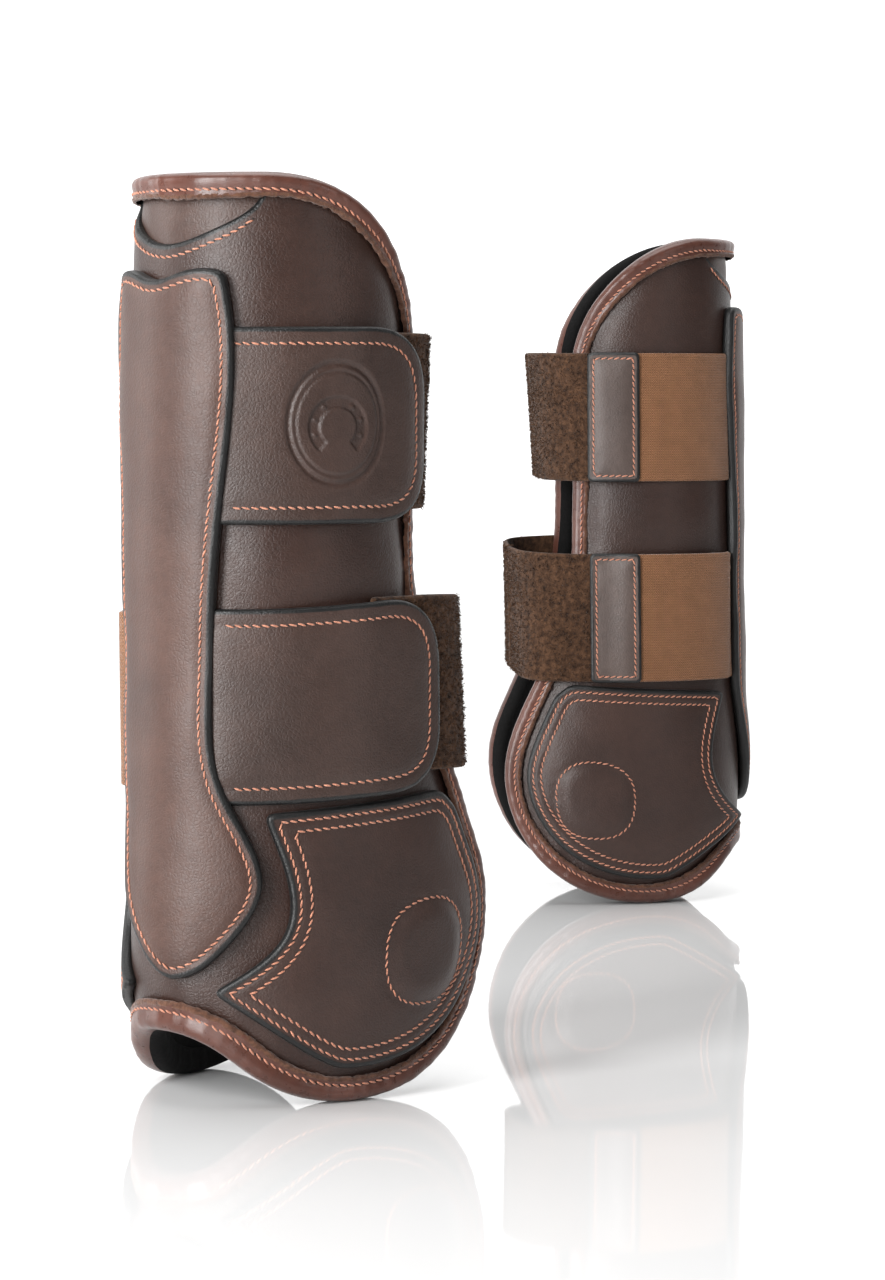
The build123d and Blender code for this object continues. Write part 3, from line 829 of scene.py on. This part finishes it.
def make_pad(side, thread, holes):
    outline = anticlockwise(resample(pad_outline(side), 0.8))
    centre = np.array([from_side(FETLOCK_STRETCH + 1.0, 0.74 * FETLOCK_Z) * side, 0.74 * FETLOCK_Z])
    oval = []
    for t in np.linspace(0, 2 * math.pi, 60, endpoint=False):
        c, q = math.cos(t), math.sin(t)
        r = 15.2 * (abs(c) ** 2.5 + abs(q) ** 2.5) ** (-1 / 2.5)
        r = r * (1 + 0.10 * math.cos(t - 0.75) - 0.05 * math.cos(2 * t + 1.2))
        oval.append(centre + np.array([r * c * side, r * q * 0.97]))
    oval = anticlockwise(np.array(oval))

    def relief(s, z, depth):
        rows = sum(-0.32 * np.exp(-(((depth - row) / 0.8) ** 2)) for row in (2.6, 5.6))
        puff = 0.45 * smooth((depth - 5.6) / 9) + 0.12 * np.exp(-(((depth - 4.1) / 0.9) ** 2))
        q = np.stack([s, z], -1)
        near = distance(q, oval)
        within = np.where(inside(q, oval), near, -near)
        dome = 1.15 * smooth((within + 0.5) / 6.0) - 0.38 * np.exp(-((within / 0.9) ** 2))
        return rows + puff + dome + 0.18 * ripple(s, z, 30, 31 + side)

    rings = (0.25, 0.6, 1.1, 1.8, 2.6, 3.4, 4.2, 5.0, 5.6, 6.4, 7.6)
    base = slab(wall, outline, 0.25, 3.1, relief, 1.9, 1.0, 1.1, rings)
    name = "lateral" if side > 0 else "medial"
    place(f"{name}_fetlock_pad", base, "pad", "", (f"{name}_fetlock_pad", f"{name}_fetlock_insert"),
          "pad_leather", fill=0.9)

    def out(s, z):
        depth = distance(np.stack([s, z], -1), outline)
        return 3.35 + relief(s, z, depth) + 0.05
    slant = -SLANT * side
    for row in (2.6, 5.6):
        stitch_row(inset(outline, row, 1.0), wall, out, 2.35, True, slant, thread, holes)
    stitch_row(oval, wall, out, 2.35, True, slant, thread, holes)


# ------------------------------------------------------------------ straps
def make_leather_strap(name):
    """Leather strap from under the guard to its rounded free end, lying over the pile strap."""
    low = STRAP_Z[name]
    fold = loop_s(name, x=FOLD_REACH)
    tip = loop_s(name, y={"upper": 22.6, "lower": 27.5}[name]) + 0.8
    rise = 3.4 if name == "lower" else 0.4
    tilt = lambda s: rise * smooth((s - fold) / (tip - fold) * 0.8) - 0.2
    surface = loop_surface(name, tilt)
    shape = round_corners(
        [(fold - 12, low), (tip, low), (tip, low + STRAP_W), (fold - 12, low + STRAP_W)], [1, 19, 21, 1], 16)
    pile_end = loop_s(name, y=4.0)
    base = lambda s, z: 0.35 + 3.1 * smooth((s - fold - 2) / (pile_end - fold)) + 0.25 * ripple(s, z, 50, 41)
    middle = np.array([fold + (tip - fold) * 0.46, low + STRAP_W / 2 + 0.5])
    mark = name == "upper"

    def emblem(s, z):
        """A plain horseshoe inside a double oval, pressed into the leather."""
        x, y = (s - middle[0]), (z - middle[1])
        oval = np.hypot(x / 13.2, y / 16.8)
        rings = sum(-deep * np.exp(-(((oval - r) * 14 / w) ** 2))
                    for r, w, deep in ((1.0, 0.75, 0.85), (0.87, 0.45, 0.5)))
        arm = np.hypot(x / 0.92, y + 1.0)
        angle = np.arctan2(x, y + 1.0)
        shoe = -0.75 * smooth((1.9 - np.abs(arm - 7.0)) / 0.6)
        shoe = shoe * smooth((math.radians(146) - np.abs(angle)) / 0.12)
        nails = 0.0
        for k in (-3, -2, -1, 1, 2, 3):
            t = math.radians(36 * k)
            near = (x - 6.5 * math.sin(t)) ** 2 + (y + 1 - 7.0 * math.cos(t)) ** 2
            nails = nails + 0.6 * np.exp(-(near / 0.34))
        return rings + shoe + nails * (np.abs(arm - 7.0) < 1.8)

    def relief(s, z, depth):
        groove = -0.32 * np.exp(-(((depth - 4.6) / 0.9) ** 2))
        crown = 0.35 * smooth(depth / 10)
        made = groove + crown + 0.16 * ripple(s, z, 34, 43)
        return made + emblem(s, z) if mark else made

    fine = None
    if mark:
        x, y = np.meshgrid(np.arange(-15, 15, 0.42), np.arange(-18.5, 18.5, 0.42))
        spots = np.stack([x.ravel() + middle[0], y.ravel() + middle[1]], -1)
        near = lambda q: (np.abs(q[:, 0] - middle[0]) < 15.2) & (np.abs(q[:, 1] - middle[1]) < 18.7)
        fine = (near, spots)
    rings = (0.25, 0.6, 1.1, 1.8, 2.8, 3.7, 4.6, 5.5)
    strap = slab(surface, shape, base, 2.1, relief, 2.2, 1.0, 0.9, rings, True, fine)
    thread, holes = Mesh(), Mesh()
    line = inset(anticlockwise(resample(shape, 0.8)), 4.6, 1.0)
    line = line[line[:, 0] > fold - 1.5]
    start = np.argmax(np.linalg.norm(line - np.roll(line, 1, 0), axis=1))
    line = np.roll(line, -start, 0)
    outline = resample(shape, 0.8)

    def out(s, z):
        return base(s, z) + 2.1 + relief(s, z, distance(np.stack([s, z], -1), outline)) + 0.05
    stitch_row(line, surface, out, 2.35, False, -SLANT, thread, holes)
    ends = [tuple(surface(fold + d, low + STRAP_W / 2, 1.2)) for d in (-3.0, 7.0)]
    blend = ("", f"_{name}_strap", ends[0], ends[1])
    place(f"{name}_leather_strap", strap, "strap", "", (f"{name}_strap_root", f"{name}_leather_strap"),
          "strap_leather", blend)
    place(f"{name}_strap_stitching", thread, "thread", "", (), None, blend)
    place(f"{name}_strap_needle_holes", holes, "hole_shade", "", (), None, blend)
    # hook patch behind the free end
    patch = round_corners([(tip - 21, low + 8), (tip - 4, low + 8), (tip - 4, low + 47), (tip - 21, low + 47)], 2)
    hooks = slab(surface, patch, lambda s, z: base(s, z) - 0.5, 0.45, None, 2.5, 1.5, 0.2, (0.3, 1.0))
    hooks.faces = [face[::-1] for face in hooks.faces]
    place(f"{name}_strap_hooks", hooks, "hook", f"_{name}_strap", (f"{name}_strap_hooks",), "hook_tape")


def make_elastic(name):
    """Elastic webbing from under the guard to the leather tab."""
    low = STRAP_Z[name] + (STRAP_W - WEB_W) / 2
    surface = loop_surface(name)
    fold = loop_s(name, x=FOLD_REACH, side=-1)
    end = loop_s(name, y=22.7, side=-1)
    high = low + WEB_W
    shape = round_corners([(fold + 12, low), (fold + 12, high), (end, high), (end, low)], 0.6, 4)
    proud = 2.8 if name == "lower" else 0.8
    base = lambda s, z: (0.3 + 0.8 * smooth((fold - s) / (fold - end)) + 0.2 * ripple(s, z * 0.4, 44, 51)
                         + proud * smooth((fold + 5.5 - s) / 5) * smooth((s - end - 4) / 14))
    web = slab(surface, shape, base, 1.5, None, 2.4, 1.2, 0.6, (0.3, 0.8, 1.6), True)
    ends = [tuple(surface(fold - d, low + WEB_W / 2, 1.0)) for d in (-3.0, 7.0)]
    blend = ("", f"_{name}_webbing", ends[0], ends[1])
    place(f"{name}_elastic", web, "webbing", "", (f"{name}_elastic_root", f"{name}_elastic"),
          "elastic_webbing", blend)
    # leather tab over the end of the webbing
    back = loop_s(name, y=5.0, side=-1)
    front = loop_s(name, y=23.6, side=-1)
    tab_shape = round_corners(
        [(back, low - 0.3), (back, high + 0.3), (front, high + 0.3), (front, low - 0.3)], 2.0, 5)
    outline = anticlockwise(resample(tab_shape, 0.8))
    over = lambda s, z: base(s, z) + 1.45

    def relief(s, z, depth):
        groove = -0.3 * np.exp(-(((depth - 2.3) / 0.8) ** 2))
        return groove + 0.3 * smooth((depth - 2.3) / 5) + 0.12 * ripple(s, z, 19, 55)
    tab = slab(surface, tab_shape, over, 1.6, relief, 1.8, 0.9, 0.7, (0.25, 0.6, 1.1, 1.7, 2.3, 3.0), True)
    place(f"{name}_elastic_tab", tab, "tab", f"_{name}_webbing", (f"{name}_elastic_tab",), "tab_leather")
    thread, holes = Mesh(), Mesh()

    def out(s, z):
        return over(s, z) + 1.6 + relief(s, z, distance(np.stack([s, z], -1), outline)) + 0.05
    stitch_row(inset(outline, 2.3, 1.0), surface, out, 2.3, True, SLANT, thread, holes)
    place(f"{name}_tab_stitching", thread, "thread", f"_{name}_webbing")
    place(f"{name}_tab_needle_holes", holes, "hole_shade", f"_{name}_webbing")


def make_pile(name):
    """Fuzzy pile strap from under the tab, across the open front, to under the leather strap."""
    low = STRAP_Z[name] + (STRAP_W - WEB_W) / 2
    start = loop_s(name, y=14.0, side=-1)
    end = loop_s(name, y=4.6)
    total = LOOPS[name][0][1][-1] * 2
    # run the long way: across the front, so measure on past the loop's end
    lift = 5.0 if name == "lower" else 1.0
    span_left = abs(-total / 2 - start)
    run = span_left + total / 2 - end
    loop = loop_surface(name)

    def surface(s, z, out):
        """s runs from 0 at the tab to the free end."""
        s = np.asarray(s, float)
        across = np.where(s < span_left, start - s, total / 2 - (s - span_left))
        level = np.zeros_like(across)
        return loop(across, z, out) + np.stack([level, level, lift * smooth((s - 8) / (run - 20))], -1)
    shape = round_corners([(0, low), (run, low), (run, low + WEB_W), (0, low + WEB_W)], 0.8, 4)
    base = lambda s, z: (
        1.15 + 0.35 * ripple(s, z * 0.3, 50, 61) * smooth((s - 12) / 10) * smooth((run - 26 - s) / 8))

    def relief(s, z, depth):
        fuzz = 0.10 * ripple(s, z, 1.7, 63) + 0.10 * ripple(s, z, 3.1, 64)
        return fuzz * smooth(depth / 1.0) - 0.2 * np.exp(-(((depth - 2.2) / 0.6) ** 2))
    pile = slab(surface, shape, base, 1.45, relief, 0.95, 0.9, 0.6, (0.3, 0.7, 1.2, 1.8, 2.5), True)
    root = surface(6.0, low + WEB_W / 2, 2.0)
    blend = (f"_{name}_webbing", f"_{name}_pile", tuple(root), tuple(root + np.array([0.45, 0.89, 0.0]) * 11))
    place(f"{name}_pile_strap", pile, "pile", "", (f"{name}_pile_strap",), "pile_tape", blend)
    # tufts of loop pile
    tufts = Mesh()
    count = int(run * WEB_W * 1.5)
    s, z = rng.uniform(1, run - 0.5, count), rng.uniform(low + 0.4, low + WEB_W - 0.4, count)
    root = surface(s, z, base(s, z) + 1.35)
    lean = rng.normal(0, 0.55, count), rng.normal(0, 0.55, count)
    tip = surface(s + lean[0], z + lean[1], base(s, z) + 1.35 + rng.uniform(0.35, 0.95, count))
    side = rng.normal(0, 1, (count, 3))
    side = np.cross(side, tip - root)
    side *= 0.15 / np.linalg.norm(side, axis=1, keepdims=True)
    bend = (root + tip) / 2 + rng.normal(0, 0.22, (count, 3))
    points = np.stack(
        [root - side, root + side, bend + side, bend - side, tip + side * 0.5, tip - side * 0.5], 1)
    faces = []
    for i in range(count):
        k = 6 * i
        faces += [(k, k + 1, k + 2, k + 3), (k + 3, k + 2, k + 4, k + 5)]
    tufts.add(points.reshape(-1, 3), faces)
    place(f"{name}_pile_tufts", tufts, "pile", "", (), "pile_tape", blend)


# ------------------------------------------------------------------ build it
def build():
    thread, holes = make_shell()
    make_binding(thread, holes)
    place("binding_stitching", thread, "thread", "")
    place("binding_needle_holes", holes, "hole_shade", "")
    thread, holes = Mesh(), Mesh()
    make_guard(thread, holes)
    place("guard_stitching", thread, "thread", "")
    place("guard_needle_holes", holes, "hole_shade", "")
    thread, holes = Mesh(), Mesh()
    for side in (1, -1):
        make_pad(side, thread, holes)
    place("pad_stitching", thread, "thread", "")
    place("pad_needle_holes", holes, "hole_shade", "")
    for name in STRAP_Z:
        make_leather_strap(name)
        make_elastic(name)
        make_pile(name)


# ------------------------------------------------------------------ studio
def area_light(name, at, toward, size, power, colour=(1, 1, 1)):
    lamp = bpy.data.lights.new(name, "AREA")
    lamp.shape = "RECTANGLE"
    lamp.size, lamp.size_y = size
    lamp.energy = power
    lamp.color = colour
    made = bpy.data.objects.new(name, lamp)
    made.location = at
    made.rotation_euler = (Vector(toward) - Vector(at)).to_track_quat("-Z", "Y").to_euler()
    bpy.context.scene.collection.objects.link(made)


def studio():
    scene = bpy.context.scene
    scene.view_settings.view_transform = "Standard"
    world = bpy.data.worlds.new("studio")
    world.use_nodes = True
    world.node_tree.nodes["Background"].inputs[0].default_value = (1, 1, 1, 1)
    world.node_tree.nodes["Background"].inputs[1].default_value = 0.18
    scene.world = world
    data = bpy.data.meshes.new("floor")
    data.from_pydata([(-6, -6, 0), (6, -6, 0), (6, 6, 0), (-6, 6, 0)], [], [(0, 1, 2, 3)])
    floor = bpy.data.objects.new("floor", data)
    scene.collection.objects.link(floor)
    material, tree, shader = new_material(
        "floor", Base_Color=(0.76, 0.76, 0.76, 1), Roughness=0.025, Specular_IOR_Level=0.6
    )
    data.materials.append(material)
    data = bpy.data.meshes.new("backdrop")
    data.from_pydata([(-6, 3, -0.3), (6, 3, -0.3), (6, 3, 5), (-6, 3, 5)], [], [(0, 1, 2, 3)])
    backdrop = bpy.data.objects.new("backdrop", data)
    scene.collection.objects.link(backdrop)
    material, tree, shader = new_material(
        "backdrop", Base_Color=(0.8, 0.8, 0.8, 1), Roughness=1.0, Emission_Color=(1, 1, 1, 1),
        Emission_Strength=0.9
    )
    data.materials.append(material)
    centre = (0, -0.1, 0.13)
    area_light("key", (-0.85, -1.15, 0.55), centre, (0.4, 1.1), 27)
    area_light("strip", (-0.35, -1.5, 0.45), centre, (0.12, 1.2), 6)
    area_light("fill", (1.1, -1.0, 0.6), centre, (0.3, 0.9), 2.5)
    area_light("top", (0.0, 0.1, 1.7), centre, (1.4, 1.4), 24)
    area_light("left", (-1.2, 0.0, 0.5), centre, (0.4, 1.0), 8)
    camera = bpy.data.cameras.new("camera")
    camera.sensor_fit = "VERTICAL"
    camera.sensor_height = 36.0
    camera.lens = 112.0
    made = bpy.data.objects.new("camera", camera)
    scene.collection.objects.link(made)
    at, aim = camera_place()
    made.location = at
    made.rotation_euler = (Vector(aim) - Vector(at)).to_track_quat("-Z", "Y").to_euler()
    scene.camera = made


def camera_place():
    """In front of boot_a, far enough that it fills its share of the frame."""
    away, right, height = 1.150, 0.05155, 0.200
    (x, y), _ = PLACES["boot_a"]
    at = (x * MM + right, y * MM - away, height)
    aim = (at[0], y * MM, 0.13)
    return at, aim


build()
studio()
